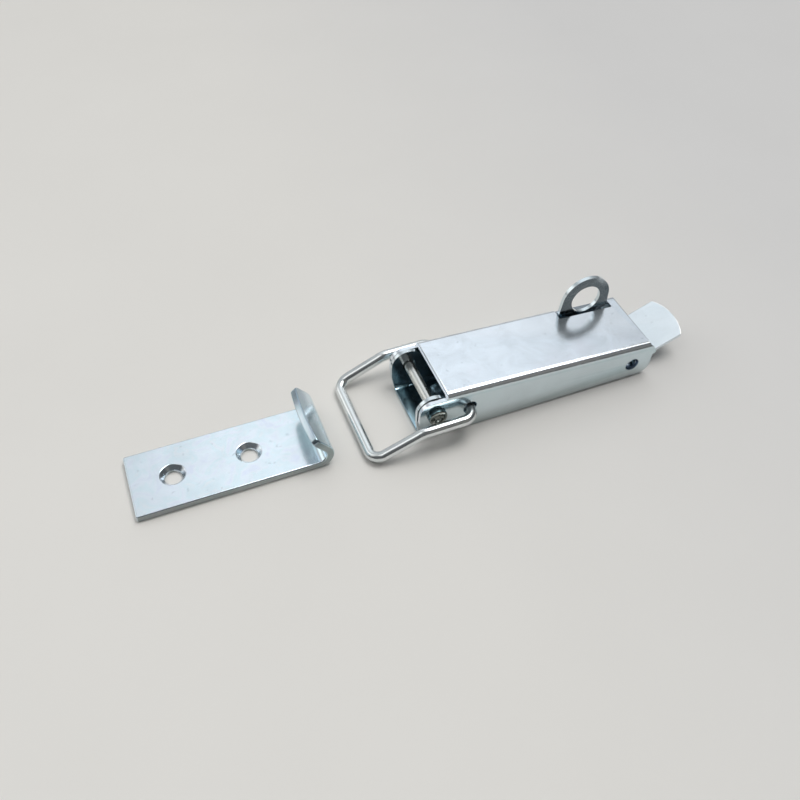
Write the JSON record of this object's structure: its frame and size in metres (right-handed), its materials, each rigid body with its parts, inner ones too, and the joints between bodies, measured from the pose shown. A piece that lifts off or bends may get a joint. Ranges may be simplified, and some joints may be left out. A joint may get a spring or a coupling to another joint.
{
  "type": "toggle latch",
  "caption": "Padlockable toggle latch: folded lever on a screwed base, wire bail, sprung safety catch and padlock eye, with its hooked keeper plate.",
  "frame": {"origin": "midway between the base's two screw holes, on the mounting surface", "axes": "+X along the latch from the keeper towards the lever's finger tongue, +Z away from the mounting surface, +Y towards the side with the padlock eye"},
  "size_m": [0.2142, 0.0448, 0.0316],
  "materials": {
    "zinc_sheet": "bright blue-white zinc plate, semi-gloss",
    "zinc_plate": "bright zinc plate on thicker sheet, semi-gloss",
    "zinc_wire": "bright zinc plate on drawn wire, glossy",
    "zinc_rivet": "bright zinc plate, glossy shank, spun heads",
    "spring_wire": "plain spring steel wire"
  },
  "bodies": {
    "base": {"base_plate": "zinc_sheet", "pivot_rivet": "zinc_rivet", "keeper_plate": "zinc_plate"},
    "lever": {"lever": "zinc_sheet", "catch_spring": "spring_wire"},
    "bail": {"wire_bail": "zinc_wire"},
    "catch": {"safety_catch": "zinc_sheet"}
  },
  "joints": [
    {"name": "lever_hinge", "type": "hinge", "parent": "base", "child": "lever", "pos_m": [-0.03745, 0, 0.0114], "axis": [0, -1, 0], "range_deg": [0, 120]},
    {"name": "bail_hinge", "type": "hinge", "parent": "lever", "child": "bail", "pos_m": [-0.0246, 0, 0.0101], "axis": [0, 1, 0], "range_deg": [0, 177]},
    {"name": "catch_hinge", "type": "hinge", "parent": "lever", "child": "catch", "pos_m": [0.0429, 0, 0.0071], "axis": [0, -1, 0], "range_deg": [0, 20], "stiffness_Nm_per_rad": 0.02, "springref_deg": -20.05, "deforming": ["catch_spring"]}
  ]
}
